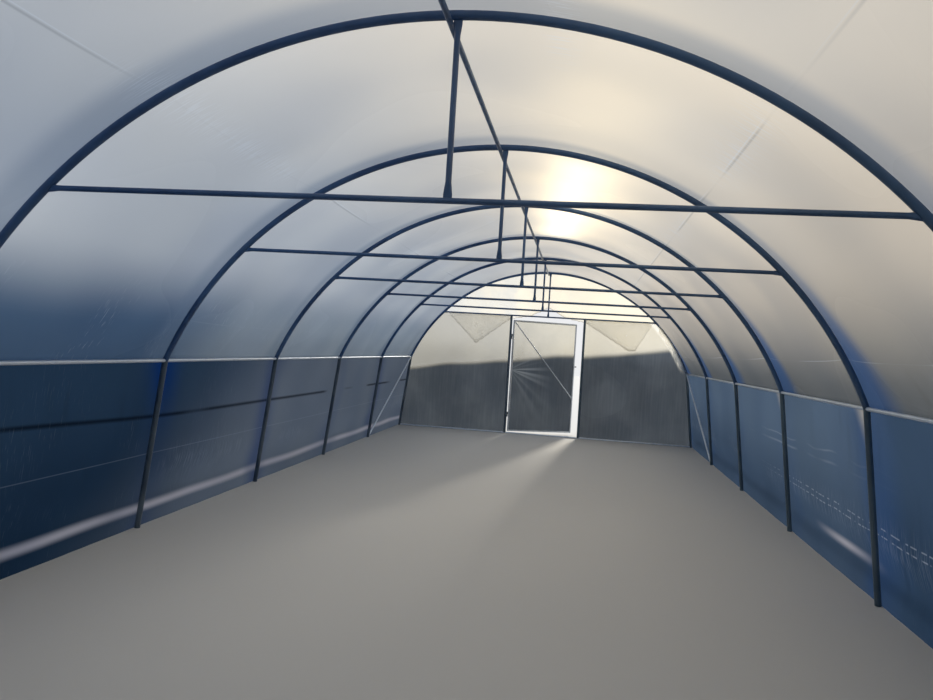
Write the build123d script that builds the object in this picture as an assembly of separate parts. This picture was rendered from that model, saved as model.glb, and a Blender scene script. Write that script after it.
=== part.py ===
"""Walk-in polytunnel greenhouse: steel tube arches on leaning side posts under one sheet of film.

X runs across the tunnel, Y along it towards the far gable, Z up. The origin is on the ground,
in the middle of the tunnel. Lengths are in millimetres and angles in degrees.
"""

import math
import os

from build123d import *

# Driving dimensions of the tunnel
bay_length = 2100.0
bay_count = 7
rail_half_width = 2500.0
rail_height = 1290.0
foot_half_width = 2648.0
apex_height = 2964.0
tie_height = 2161.0

# Tubes and film
hoop_tube = 42.4
light_tube = 26.9
film_thickness = 3.0
seat = 0.3

# Flattened ends of the ties and king posts
flat_length = 75.0
flat_thickness = 6.0
flat_width = 39.0
flat_tip = 15.0
flat_root_half = 12.1

# Doorway and door leaf
door_post_half = 665.0
hinge_gap = 12.0
latch_gap = 17.0
sill_gap = 13.0
header_gap = 67.0
ajar_angle = 24.0
diagonal_end_height = 680.0
diagonal_tube = 21.3

# Hinges and latch
barrel_diameter = 16.0
barrel_length = 45.0
pin_diameter = 9.0
pin_clearance = 0.3
pin_cover = 8.0
barrel_gap = 1.0
web_thickness = 6.0
hinge_inset = 260.0
axis_stand_off = 8.0
latch_height = 1280.0
latch_width = 25.0
latch_thickness = 5.0
latch_reach = 50.0
latch_grip = 40.0
latch_stand_off = 5.0

# Loose end of the roof film, folded down over each gable: turns up from the tie's end, widths from the arch
apron_end_turn = 1.0
left_tip_turn = 1.4
left_tip_width = 830.0
right_tip_turn = -3.8
right_tip_width = 610.0
right_corner_turn = -1.6
right_corner_width = 698.0

# Its edge over the doorway, from the tie and the door posts
apron_peak_rise = 160.0
apron_shoulder_x = 320.0
apron_shoulder_drop = 8.0
apron_post_overlap = 25.0
apron_post_drop = 75.0

hoop_radius = hoop_tube / 2
light_radius = light_tube / 2
cut_allowance = 2 * hoop_tube
half_length = bay_length * bay_count / 2
stations = [bay_length * index - half_length for index in range(bay_count + 1)]

# The arch is one circular arc through the two rails and the apex
arch_rise = apex_height - rail_height
arch_radius = (rail_half_width**2 + arch_rise**2) / (2 * arch_rise)
arch_centre = apex_height - arch_radius
arch_half_angle = math.degrees(math.asin(rail_half_width / arch_radius))

# The side posts lean outwards from the rail to the ground
post_length = math.hypot(foot_half_width - rail_half_width, rail_height)
post_run = (foot_half_width - rail_half_width) / post_length
post_fall = rail_height / post_length
post_lean = math.degrees(math.asin(post_run))
mitre_lean = ((90 - arch_half_angle) + post_lean) / 2

tie_half_length = math.sqrt(arch_radius**2 - (tie_height - arch_centre) ** 2)
tie_end_angle = math.degrees(math.asin(tie_half_length / arch_radius))

# Film surfaces, as distances from the centre lines of the hoops and posts
film_inside = hoop_radius + seat
film_outside = film_inside + film_thickness
gable_film_start = half_length + film_inside
apron_start = gable_film_start + film_thickness + seat
film_half_length = apron_start + film_thickness

# Door leaf, in its closed position between the posts of the far gable
door_post_face = door_post_half - hoop_radius
leaf_left = -door_post_face + hinge_gap
leaf_right = door_post_face - latch_gap
leaf_bottom = light_tube + sill_gap
leaf_top = tie_height - light_radius - header_gap
hinge_x = -door_post_face + hinge_gap / 2
hinge_y = half_length + light_radius + axis_stand_off
post_film_face = gable_film_start + film_thickness


def member(start, end, radius):
    """A straight round bar between two points."""
    start, end = Vector(*start), Vector(*end)
    bar = Cylinder(radius, (end - start).length, align=(Align.CENTER, Align.CENTER, Align.MIN))
    return Plane(origin=start, z_dir=end - start) * bar


def mirror_left(shape):
    """The same piece on the other side of the tunnel."""
    return mirror(shape, about=Plane.YZ)


def turn_about(shape):
    """The same piece at the other end of the tunnel, which repeats the far one turned by half a circle."""
    return Rot(0, 0, 180) * shape


def mitre_plane():
    """The plane in which a hoop's right end and its post's head meet, through the middle of the rail."""
    lean = math.radians(mitre_lean)
    across = (math.sin(lean), 0, -math.cos(lean))
    return Plane(origin=(rail_half_width, 0, rail_height), x_dir=(0, 1, 0), z_dir=across)


def hip_rail(radius):
    """The rail that runs along the tunnel between the hoops and the right-hand posts."""
    end = half_length + hoop_radius
    return member((rail_half_width, -end, rail_height), (rail_half_width, end, rail_height), radius)


def hoop():
    """One arch in the plane Y = 0, mitred on its posts and notched over both rails."""
    half_angle = arch_half_angle + math.degrees(cut_allowance / arch_radius)
    profile = Plane.XZ * Pos(arch_radius, 0) * Circle(hoop_radius)
    arc = revolve(profile, Axis.Z, 2 * half_angle)
    arc = Pos(0, 0, arch_centre) * Rot(90, 0, 0) * Rot(0, 0, 90 - half_angle) * arc
    for _ in ("right end", "left end"):
        # Each end is cut on the right-hand side, and the arch is mirrored after each cut
        arc = split(arc, bisect_by=mitre_plane(), keep=Keep.BOTTOM) - hip_rail(light_radius + seat)
        arc = mirror_left(arc)
    return arc


def post(radius=hoop_radius):
    """One right-hand side post in the plane Y = 0, from the mitre under the rail to the ground."""
    head = (rail_half_width - post_run * cut_allowance, 0, rail_height + post_fall * cut_allowance)
    foot = (foot_half_width + post_run * cut_allowance, 0, -post_fall * cut_allowance)
    bar = member(head, foot, radius)
    bar = split(bar, bisect_by=mitre_plane(), keep=Keep.TOP)
    bar = split(bar, bisect_by=Plane.XY, keep=Keep.TOP)
    return bar - hip_rail(light_radius + seat)


def flattened_bar(half_length_of_bar):
    """A light tube along X whose two ends are pressed flat and flare out in the plane Y = 0."""
    end = half_length_of_bar
    root = end - flat_length
    bar = Rot(0, 90, 0) * Cylinder(light_radius, 2 * end)
    wedge_corners = [(root, light_tube), (root, light_radius), (end, flat_thickness / 2), (end, light_tube)]
    wedge = make_face(Polyline(*wedge_corners, close=True))
    fin = make_face(
        Polyline(
            (root, -flat_root_half),
            (end - flat_tip, -flat_width / 2),
            (end, -flat_width / 2),
            (end, flat_width / 2),
            (end - flat_tip, flat_width / 2),
            (root, flat_root_half),
            close=True,
        )
    )
    cut = extrude(wedge, light_tube, both=True)
    blade = extrude(Plane.XZ * fin, flat_thickness / 2, both=True)
    for turn in (0, 180):
        for flip in (0, 180):
            bar = bar - Rot(flip, 0, turn) * cut
        bar = bar + Rot(0, 0, turn) * blade
    return bar


def tie():
    """The horizontal tie of one arch, its flat ends cut to the inside of the hoop."""
    inside = Pos(0, 0, arch_centre) * Rot(90, 0, 0) * Cylinder(arch_radius - hoop_radius - seat, hoop_tube)
    return (Pos(0, 0, tie_height) * flattened_bar(tie_half_length)) & inside


def king_post():
    """The short post from the middle of the tie to the crown of the hoop."""
    bottom = tie_height + light_radius + seat
    top = apex_height - hoop_radius - seat
    return Pos(0, 0, (bottom + top) / 2) * Rot(0, 90, 0) * flattened_bar((top - bottom) / 2)


def ridge_purlin():
    """The purlin under the crown of the hoops, beside the king posts."""
    offset = flat_width / 2 + light_radius + seat
    end = half_length + hoop_radius
    height = arch_centre + math.sqrt((arch_radius - hoop_radius) ** 2 - offset**2) - light_radius - seat
    return member((-offset, -end, height), (-offset, end, height), light_radius)


def corner_brace():
    """The brace of the far bay's right side, from the gable post's head to the next post's foot."""
    inner = stations[-2]
    brace = member((rail_half_width, half_length, rail_height), (foot_half_width, inner, 0), light_radius)
    brace = brace - hip_rail(light_radius + seat)
    for station in (half_length, inner):
        brace = brace - Pos(0, station, 0) * post(hoop_radius + seat)
    brace = split(brace, bisect_by=Plane.XY, keep=Keep.TOP)
    return max(brace.solids(), key=lambda solid: solid.volume)


def sill():
    """The ground tube across the far gable, between the two gable posts."""
    left, right = ((x, half_length, light_radius) for x in (-foot_half_width, foot_half_width))
    bar = member(left, right, light_radius)
    gable_post = Pos(0, half_length, 0) * post(hoop_radius + seat)
    bar = bar - gable_post - mirror_left(gable_post)
    return max(bar.solids(), key=lambda solid: solid.volume)


def door_post():
    """The far gable's right door post, notched over the sill and under the tie."""
    foot, head = ((door_post_half, half_length, z) for z in (light_radius, tie_height))
    bar = member(foot, head, hoop_radius)
    for _, y, z in (foot, head):
        bar = bar - member((0, y, z), (2 * door_post_half, y, z), light_radius + seat)
    return max(bar.solids(), key=lambda solid: solid.volume)


def ajar(shape):
    """A piece of the far leaf, turned from its closed position to the one it stands in."""
    return Pos(hinge_x, hinge_y, 0) * Rot(0, 0, ajar_angle) * Pos(-hinge_x, -hinge_y, 0) * shape


def leaf_frame():
    """The far door leaf's frame, closed: one tube, mitred and welded at the four corners."""
    left, right = leaf_left + light_radius, leaf_right - light_radius
    low, high = leaf_bottom + light_radius, leaf_top - light_radius
    corners = [(left, low), (right, low), (right, high), (left, high)]
    middle = ((left + right) / 2, low)
    path = Plane.XZ * Polyline(middle, *corners[1:], corners[0], middle)
    section = Plane(origin=(middle[0], 0, low), z_dir=(1, 0, 0)) * Circle(light_radius)
    return Pos(0, half_length, 0) * sweep(section, path=path, transition=Transition.RIGHT)


def leaf_diagonal():
    """The thinner tube from the leaf's top hinge corner down to the free stile, cut to fit the frame."""
    left, right = leaf_left + light_radius, leaf_right - light_radius
    high = leaf_top - light_radius
    bar = member((left, half_length, high), (right, half_length, diagonal_end_height), diagonal_tube / 2)
    around = light_radius + seat
    for stile in (left, right):
        bar = bar - member((stile, half_length, leaf_bottom), (stile, half_length, leaf_top), around)
    bar = bar - member((left, half_length, high), (right, half_length, high), around)
    return max(bar.solids(), key=lambda solid: solid.volume)


def leaf_film():
    """The film on the outside of the far door leaf, closed, from stile to stile."""
    left, right = leaf_left + light_radius, leaf_right - light_radius
    front = half_length + light_radius + seat
    size = (right - left, film_thickness, leaf_top - leaf_bottom)
    return Pos(left, front, leaf_bottom) * Box(*size, align=(Align.MIN, Align.MIN, Align.MIN))


def hinge_bottoms():
    """The heights of the lower and the upper hinge's bottom end."""
    return (leaf_bottom + hinge_inset, leaf_top - hinge_inset - 2 * barrel_length)


def web(target_x, radius, bottom):
    """The plate between a hinge barrel and the tube that it is welded to."""
    reach = Vector(target_x - hinge_x, half_length - hinge_y, 0)
    plate = Box(reach.length, web_thickness, barrel_length, align=(Align.MIN, Align.CENTER, Align.MIN))
    plate = Plane(origin=(hinge_x, hinge_y, bottom), x_dir=reach, z_dir=(0, 0, 1)) * plate
    tube = member((target_x, half_length, leaf_bottom), (target_x, half_length, leaf_top), radius + seat)
    return plate - tube


def post_hinge(bottom):
    """The lower barrel of one hinge, welded to the door post, with the pin standing in it."""
    barrel = Pos(hinge_x, hinge_y, bottom) * Cylinder(
        barrel_diameter / 2, barrel_length, align=(Align.CENTER, Align.CENTER, Align.MIN)
    )
    pin_length = 2 * barrel_length + barrel_gap - pin_cover
    pin = Pos(hinge_x, hinge_y, bottom) * Cylinder(
        pin_diameter / 2, pin_length, align=(Align.CENTER, Align.CENTER, Align.MIN)
    )
    return barrel + web(-door_post_half, hoop_radius, bottom) + pin


def leaf_hinge(bottom):
    """The upper barrel of one hinge, welded to the leaf's stile, bored for the pin."""
    low = bottom + barrel_length + barrel_gap
    barrel = Pos(hinge_x, hinge_y, low) * Cylinder(
        barrel_diameter / 2, barrel_length, align=(Align.CENTER, Align.CENTER, Align.MIN)
    )
    bore_depth = barrel_length - pin_cover + pin_clearance
    bore = Pos(hinge_x, hinge_y, low) * Cylinder(
        pin_diameter / 2 + pin_clearance, bore_depth, align=(Align.CENTER, Align.CENTER, Align.MIN)
    )
    return barrel + web(leaf_left + light_radius, light_radius, low) - bore


def latch():
    """The flat latch bar on the free stile of the far leaf, standing off so that it laps over the post."""
    stile = leaf_right - light_radius
    front = post_film_face + latch_stand_off
    bar = Pos(leaf_right - latch_grip, front, latch_height) * Box(
        latch_grip + latch_reach, latch_thickness, latch_width, align=(Align.MIN, Align.MIN, Align.CENTER)
    )
    lug = Pos(stile + seat, half_length, latch_height) * Box(
        web_thickness, front - half_length, latch_width, align=(Align.MIN, Align.MIN, Align.CENTER)
    )
    tube = member((stile, half_length, leaf_bottom), (stile, half_length, leaf_top), light_radius + seat)
    return bar + (lug - tube)


def corner_point(offset):
    """Where the arc and the right wall line, both moved out by the offset, meet near the rail."""
    start_x = rail_half_width + post_fall * offset
    start_z = rail_height + post_run * offset
    from_centre = start_z - arch_centre
    along = start_x * post_run - from_centre * post_fall
    beyond = start_x**2 + from_centre**2 - (arch_radius + offset) ** 2
    step = -along - math.sqrt(along**2 - beyond)
    return (start_x + post_run * step, start_z - post_fall * step)


def ground_point(offset):
    """Where the right wall line, moved out by the offset, meets the ground."""
    return (foot_half_width + offset / post_fall, 0)


def flip(point):
    """The same point on the left-hand side."""
    return (-point[0], point[1])


def arch_point(radius, height):
    """The right-hand point of a circle about the arch's centre at a height."""
    return (math.sqrt(radius**2 - (height - arch_centre) ** 2), height)


def roof_film():
    """The film over the arches, from rail to rail and from gable to gable."""
    inner, outer = corner_point(film_inside), corner_point(film_outside)
    crown = arch_centre + arch_radius
    outline = ThreePointArc(flip(inner), (0, crown + film_inside), inner) + Line(inner, outer)
    outline += ThreePointArc(outer, (0, crown + film_outside), flip(outer)) + Line(flip(outer), flip(inner))
    return extrude(Plane.XZ * make_face(outline), film_half_length, both=True)


def side_film():
    """The film of the right-hand wall, from the rail down to the ground."""
    inner = [corner_point(film_inside), ground_point(film_inside)]
    outer = [ground_point(film_outside), corner_point(film_outside)]
    return extrude(Plane.XZ * make_face(Polyline(*inner, *outer, close=True)), film_half_length, both=True)


def gable_film():
    """The film of the far gable to the right of the doorway, up to the tie."""
    corner, ground = corner_point(hoop_radius), ground_point(hoop_radius)
    top = arch_point(arch_radius + hoop_radius, tie_height)
    middle = arch_point(arch_radius + hoop_radius, (corner[1] + top[1]) / 2)
    jamb_foot, jamb_head = (door_post_half, 0), (door_post_half, tie_height)
    outline = ThreePointArc(corner, middle, top) + Polyline(top, jamb_head, jamb_foot, ground, corner)
    sheet = extrude(Plane.XZ * make_face(outline), -film_thickness)
    return Pos(0, gable_film_start, 0) * sheet


def above_tie_end(turn, radius):
    """The right-hand point of a circle about the arch's centre, turned up from the tie's end."""
    angle = math.radians(tie_end_angle - turn)
    return (radius * math.sin(angle), arch_centre + radius * math.cos(angle))


def apron():
    """The roof film's end, folded down over the far gable, with its ragged lower edge."""
    outside = arch_radius + hoop_radius
    end = above_tie_end(apron_end_turn, outside)
    left_tip = flip(above_tie_end(left_tip_turn, arch_radius - left_tip_width))
    right_tip = above_tie_end(right_tip_turn, arch_radius - right_tip_width)
    right_corner = above_tie_end(right_corner_turn, arch_radius - right_corner_width)
    right_post = (door_post_half + apron_post_overlap, tie_height - apron_post_drop)
    right_shoulder = (apron_shoulder_x, tie_height - apron_shoulder_drop)
    peak = (0, tie_height + apron_peak_rise)
    edge = Polyline(
        end, right_tip, right_corner, right_post, right_shoulder, peak,
        flip(right_shoulder), flip(right_post), left_tip, flip(end),
    )
    outline = edge + ThreePointArc(flip(end), (0, arch_centre + outside), end)
    sheet = extrude(Plane.XZ * make_face(outline), -film_thickness)
    return Pos(0, apron_start, 0) * sheet


def write(name, *solids):
    """Write one sub-part, of one or more solids that don't touch."""
    shape = solids[0] if len(solids) == 1 else Compound(children=list(solids))
    export_step(shape, f"parts/{name}.step")


def build_frame():
    """The standing frame: hoops, posts, rails, ties, king posts, purlin and braces."""
    arch, side_post, cross_tie, short_post = hoop(), post(), tie(), king_post()
    for number, station in enumerate(stations, start=1):
        write(f"hoop_{number}", Pos(0, station, 0) * arch)
    write("side_posts_right", *[Pos(0, station, 0) * side_post for station in stations])
    write("side_posts_left", *[Pos(0, station, 0) * mirror_left(side_post) for station in stations])
    write("tie_bars", *[Pos(0, station, 0) * cross_tie for station in stations])
    write("king_posts", *[Pos(0, station, 0) * short_post for station in stations])
    write("ridge_purlin", ridge_purlin())
    rail = hip_rail(light_radius)
    write("hip_rail_right", rail)
    write("hip_rail_left", mirror_left(rail))
    brace = corner_brace()
    write("corner_braces_right", brace, turn_about(mirror_left(brace)))
    write("corner_braces_left", mirror_left(brace), turn_about(brace))


def build_gable(end, place):
    """One gable: sill, door posts, films and the door leaf with its hinges and latch."""
    write(f"{end}_sill", place(sill()))
    jamb = door_post()
    write(f"{end}_door_posts", place(jamb), place(mirror_left(jamb)))
    write(f"{end}_post_hinges", *[place(post_hinge(bottom)) for bottom in hinge_bottoms()])
    write(f"{end}_leaf_hinges", *[place(ajar(leaf_hinge(bottom))) for bottom in hinge_bottoms()])
    write(f"{end}_leaf_frame", place(ajar(leaf_frame())), place(ajar(leaf_diagonal())))
    write(f"{end}_leaf_film", place(ajar(leaf_film())))
    write(f"{end}_latch", place(ajar(latch())))
    film = gable_film()
    write(f"{end}_gable_film_right", place(film))
    write(f"{end}_gable_film_left", place(mirror_left(film)))
    write(f"{end}_gable_apron", place(apron()))


def build_cover():
    """The film over the roof and down both side walls."""
    wall = side_film()
    write("roof_film", roof_film())
    write("side_film_right", wall)
    write("side_film_left", mirror_left(wall))


os.makedirs("parts", exist_ok=True)
build_frame()
build_gable("far", lambda shape: shape)
build_gable("near", turn_about)
build_cover()
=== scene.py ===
# %% [markdown]
# A walk-in polytunnel is a row of round steel arches under one sheet of translucent film. This
# notebook dresses its fixed steel frame, which is loaded first and never moved. Every length is
# in metres, X runs across the tunnel, Y along it towards the far gable and Z up.

# %% Load the frame
import math

import bpy
import numpy as np
from mathutils import Matrix, Vector


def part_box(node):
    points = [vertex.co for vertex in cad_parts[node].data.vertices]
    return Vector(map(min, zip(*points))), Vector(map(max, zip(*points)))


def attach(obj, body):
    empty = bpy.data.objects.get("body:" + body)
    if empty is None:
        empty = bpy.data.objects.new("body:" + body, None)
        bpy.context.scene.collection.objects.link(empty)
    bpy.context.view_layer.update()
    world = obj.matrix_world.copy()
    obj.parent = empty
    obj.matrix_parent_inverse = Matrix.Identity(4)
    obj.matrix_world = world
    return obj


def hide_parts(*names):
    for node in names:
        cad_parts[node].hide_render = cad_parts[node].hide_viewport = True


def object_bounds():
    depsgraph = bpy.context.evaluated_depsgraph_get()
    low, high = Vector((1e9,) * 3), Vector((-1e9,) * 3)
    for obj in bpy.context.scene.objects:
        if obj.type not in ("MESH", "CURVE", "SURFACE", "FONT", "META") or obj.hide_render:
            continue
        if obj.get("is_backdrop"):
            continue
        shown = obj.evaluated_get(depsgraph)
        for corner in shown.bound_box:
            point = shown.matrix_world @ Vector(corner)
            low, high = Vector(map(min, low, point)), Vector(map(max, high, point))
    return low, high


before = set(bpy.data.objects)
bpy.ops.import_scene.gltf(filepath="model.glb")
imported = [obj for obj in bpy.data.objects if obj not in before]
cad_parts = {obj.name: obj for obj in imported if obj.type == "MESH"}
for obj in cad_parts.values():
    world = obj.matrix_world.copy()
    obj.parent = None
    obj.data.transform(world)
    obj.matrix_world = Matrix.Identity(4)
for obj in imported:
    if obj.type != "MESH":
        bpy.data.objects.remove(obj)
cad_low, cad_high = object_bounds()
print("frame size", [round(high - low, 3) for low, high in zip(cad_low, cad_high)])

# %% [markdown]
# Everything that is added here leans on the steel, so its sizes are read from the frame: the
# rail's middle, the arch's radius and the lean of the posts are worked out from the boxes that
# the steel pieces fill. If the frame changes, the film follows it.


# %% Read the tunnel's own sizes
def middle(node):
    """The middle of a steel piece's box."""
    low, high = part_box(node)
    return (low + high) / 2


def corners_of(node):
    """The corner points of a piece of the frame."""
    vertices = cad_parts[node].data.vertices
    places = np.empty(len(vertices) * 3, np.float32)
    vertices.foreach_get("co", places)
    return places.reshape(-1, 3).astype(float)


hoop_low, hoop_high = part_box("hoop_1")
hoop_radius = (hoop_high.y - hoop_low.y) / 2
half_length = middle("hoop_8").y
bay_length = middle("hoop_2").y - middle("hoop_1").y
bay_count = round(2 * half_length / bay_length)
rail = middle("hip_rail_right")
rail_low, rail_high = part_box("hip_rail_right")
light_radius = (rail_high.z - rail_low.z) / 2
crown = hoop_high.z - hoop_radius
arch_rise = crown - rail.z
arch_radius = (rail.x**2 + arch_rise**2) / (2 * arch_rise)
arch_centre = crown - arch_radius
wall_lean = math.atan2(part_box("side_posts_right")[1].x - hoop_radius - rail.x, rail.z)
tie_height = middle("tie_bars").z
door_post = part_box("far_door_posts")[1].x - hoop_radius
hoop_stations = -half_length + bay_length * np.arange(bay_count + 1)
hoop_names = [f"hoop_{number}" for number in range(1, bay_count + 2)]
film_offset = hoop_radius + 0.0018
roof_radius = arch_radius + film_offset
wall_normal = np.array([math.cos(wall_lean), math.sin(wall_lean)])
wall_down = np.array([math.sin(wall_lean), -math.cos(wall_lean)])
wall_top = np.array([rail.x, rail.z]) + wall_normal * film_offset
from_centre = wall_top - np.array([0, arch_centre])
along_wall = from_centre @ wall_down
beyond_arch = from_centre @ from_centre - roof_radius**2
wall_start = wall_top + wall_down * (-along_wall - math.sqrt(along_wall**2 - beyond_arch))
corner_angle = math.atan2(wall_start[0], wall_start[1] - arch_centre)
roof_half = roof_radius * corner_angle
wall_length = wall_start[1] / math.cos(wall_lean) + 0.008
film_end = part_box("roof_film")[1].y
print("arch radius", round(arch_radius, 4), "bay", round(bay_length, 3), "bays", bay_count)
print("lean of the posts", round(math.degrees(wall_lean), 2), "degrees")

# %% [markdown]
# The photo was taken by hand from inside the near end, a little right of the middle and turned
# slightly left. Its place, turn and field of view come from lines that meet in the photo: hoops,
# rails and ties of known size. The camera is built from its three axes, so the small roll of the
# hand is kept too.

# %% Camera
eye = Vector((0.606, -6.337, 1.537))
yaw, pitch, roll = (math.radians(turn) for turn in (-8.59, -0.26, 3.55))
focal_pixels = 748.8
photo_width = 933
sensor_width = 36.0

forward = Vector((math.sin(yaw) * math.cos(pitch), math.cos(yaw) * math.cos(pitch), math.sin(pitch)))
level_right = Vector((math.cos(yaw), -math.sin(yaw), 0))
level_up = level_right.cross(forward)
camera_right = level_right * math.cos(roll) + level_up * math.sin(roll)
camera_up = level_up * math.cos(roll) - level_right * math.sin(roll)
camera_axes = Matrix((camera_right, camera_up, -forward)).transposed()

camera = bpy.data.objects.new("camera", bpy.data.cameras.new("camera"))
camera.data.sensor_width = sensor_width
camera.data.lens = focal_pixels / photo_width * sensor_width
camera.data.clip_start = 0.05
camera.matrix_world = Matrix.Translation(eye) @ camera_axes.to_4x4()
bpy.context.scene.collection.objects.link(camera)
bpy.context.scene.camera = camera
bpy.context.scene.view_settings.view_transform = "Standard"
print("lens", round(camera.data.lens, 2), "mm")

# %% [markdown]
# Shader maths is easier to read as Python. `Wire` stands for one output of a node, and adding or
# multiplying wires adds the Math nodes.


# %% Shader maths
class Wire:
    """One output of a node, so that shader maths reads like Python."""

    def __init__(self, nodes, socket):
        self.nodes = nodes
        self.socket = socket

    def maths(self, operation, *values):
        return self.nodes.node("ShaderNodeMath", {"operation": operation}, dict(enumerate(values)))

    def __add__(self, other):
        return self.maths("ADD", self, other)

    __radd__ = __add__

    def __mul__(self, other):
        return self.maths("MULTIPLY", self, other)

    __rmul__ = __mul__

    def __sub__(self, other):
        return self.maths("SUBTRACT", self, other)

    def __rsub__(self, other):
        return self.maths("SUBTRACT", other, self)

    def sine(self):
        return self.maths("SINE", self)

    def size(self):
        return self.maths("ABSOLUTE", self)

    def part(self):
        return self.maths("FRACT", self)

    def root(self):
        return self.maths("SQRT", self)

    def angle(self, run):
        """The angle of a slope that rises by this wire over a run."""
        return self.maths("ARCTAN2", self, run)

    def highest(self, other):
        return self.maths("MAXIMUM", self, other)

    def lowest(self, other):
        return self.maths("MINIMUM", self, other)

    def ramp(self, low, high, start=0.0, end=1.0):
        """Rises smoothly from start to end as the wire goes from low to high."""
        settings = {"interpolation_type": "SMOOTHSTEP"}
        return self.nodes.node("ShaderNodeMapRange", settings, {0: self, 1: low, 2: high, 3: start, 4: end})

    def near(self, place, width):
        """One where the wire is at a place, falling to nothing a width away on both sides."""
        return (self - place).size().ramp(0.0, width, 1.0, 0.0)


# %% [markdown]
# `Nodes` is a node tree, and its one method `node` takes a node's type, its settings and what goes
# into its sockets. `Finish` is a material being made. Its patterns read Object coordinates, or the
# coordinates of a sheet, and colours are given as a screen shows them.


# %% Node trees and finishes
class Nodes:
    """A node tree that is being filled."""

    def __init__(self, tree):
        self.tree = tree

    def node(self, kind, settings=None, inputs=None, output=0):
        node = self.tree.nodes.new(kind)
        for setting, value in (settings or {}).items():
            setattr(node, setting, value)
        for socket, value in (inputs or {}).items():
            if isinstance(value, Wire):
                self.tree.links.new(value.socket, node.inputs[socket])
            else:
                node.inputs[socket].default_value = value
        return Wire(self, node.outputs[output])

    def end(self, wire, kind):
        """Links the last shader to the tree's output."""
        self.tree.links.new(wire.socket, self.tree.nodes[kind].inputs["Surface"])


class Finish(Nodes):
    """A material being made, with its Principled shader and its coordinates."""

    def __init__(self, name, **constants):
        self.material = bpy.data.materials.new(name)
        self.material.use_nodes = True
        super().__init__(self.material.node_tree)
        self.surface = self.tree.nodes["Principled BSDF"]
        for socket, value in constants.items():
            self.surface.inputs[socket.replace("_", " ")].default_value = value

    def place(self, scale=(1, 1, 1), turn=(0, 0, 0), source="Object"):
        """Object coordinates, metres in the tunnel's own frame, or a sheet's UV, turned and stretched."""
        here = self.node("ShaderNodeTexCoord", output=source)
        return self.node("ShaderNodeMapping", None, {"Vector": here, "Rotation": turn, "Scale": scale})

    def split(self, vector):
        """The three numbers of a vector."""
        return [self.node("ShaderNodeSeparateXYZ", None, {0: vector}, output=axis) for axis in range(3)]

    def noise(self, scale, detail=3.0, rough=0.5, where=None, warp=0.0):
        where = where or self.place()
        inputs = {"Vector": where, "Scale": scale, "Detail": detail, "Roughness": rough, "Distortion": warp}
        return self.node("ShaderNodeTexNoise", None, inputs)

    def mix(self, share, first, second, blend="MIX"):
        """The first colour where share is 0 and the second, blended in, where it is 1."""
        settings = {"data_type": "RGBA", "blend_type": blend}
        return self.node("ShaderNodeMix", settings, {0: share, 6: first, 7: second}, output=2)

    def feed(self, **wires):
        """Links wires to the Principled shader's sockets."""
        for socket, wire in wires.items():
            self.tree.links.new(wire.socket, self.surface.inputs[socket.replace("_", " ")])

    def bump(self, height, distance, strength=1.0):
        inputs = {"Height": height, "Distance": distance, "Strength": strength}
        return self.node("ShaderNodeBump", None, inputs)


def ink(red, green, blue):
    """A colour as a screen shows it, from 0 to 255, as the linear light that a shader works with."""
    share = np.array([red, green, blue]) / 255
    linear = np.where(share > 0.04045, ((share + 0.055) / 1.055) ** 2.4, share / 12.92)
    return (*linear.tolist(), 1.0)


# %% [markdown]
# The floor and the backdrop aren't part of the tunnel. A pale plane carries it and keeps its
# shadow, and the world is a pale soft light that also shows behind the film. Light that the film
# spreads counts as diffuse, so it takes the soft light and not the backdrop.

# %% Floor and world
floor_half = 45.0
floor_drop = 0.0005

floor_mesh = bpy.data.meshes.new("floor")
floor_corners = [(x * floor_half, y * floor_half, 0) for x, y in ((-1, -1), (1, -1), (1, 1), (-1, 1))]
floor_mesh.from_pydata(floor_corners, [], [(0, 1, 2, 3)])
floor = bpy.data.objects.new("floor", floor_mesh)
floor.location.z = -floor_drop
bpy.context.scene.collection.objects.link(floor)
floor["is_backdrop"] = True
floor_mesh.materials.append(Finish("pale_floor", Base_Color=ink(196, 195, 193), Roughness=0.9).material)

world = bpy.data.worlds.new("pale_world")
world.use_nodes = True
bpy.context.scene.world = world
sky = Nodes(world.node_tree)
ray_kinds = ("Camera", "Glossy", "Transmission", "Diffuse")
camera_ray, glossy_ray, clear_ray, diffuse_ray = (
    sky.node("ShaderNodeLightPath", output=f"Is {kind} Ray") for kind in ray_kinds
)
seen = camera_ray.highest(glossy_ray).highest(clear_ray - diffuse_ray)
soft_light = sky.node("ShaderNodeBackground", None, {"Color": ink(214, 226, 244), "Strength": 0.95})
backdrop = sky.node("ShaderNodeBackground", None, {"Color": ink(238, 239, 241), "Strength": 1.0})
sky.end(sky.node("ShaderNodeMixShader", None, {0: seen, 1: soft_light, 2: backdrop}), "World Output")
print("floor", 2 * floor_half, "m square, world", world.name)

# %% [markdown]
# A low, warm sun stands behind the far gable. Where it shines through the roof, the photo shows a
# soft bright patch, so two long, weak lamps hang over the film there, a narrow one and a wide one.


# %% Lamps
def add_lamp(name, kind, energy, colour, direction, place=(0, 0, 0), turn=0.0, **settings):
    """A soft lamp of a kind that shines along a direction; a lamp that shines down can be turned about Z."""
    light = bpy.data.lights.new(name, kind)
    light.energy = energy
    light.color = colour
    for setting, value in settings.items():
        setattr(light, setting, value)
    holder = bpy.data.objects.new(name, light)
    holder.location = place
    holder.rotation_euler = Vector(direction).to_track_quat("-Z", "Y").to_euler()
    holder.rotation_euler.z += turn
    holder.visible_camera = False
    bpy.context.scene.collection.objects.link(holder)


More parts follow.
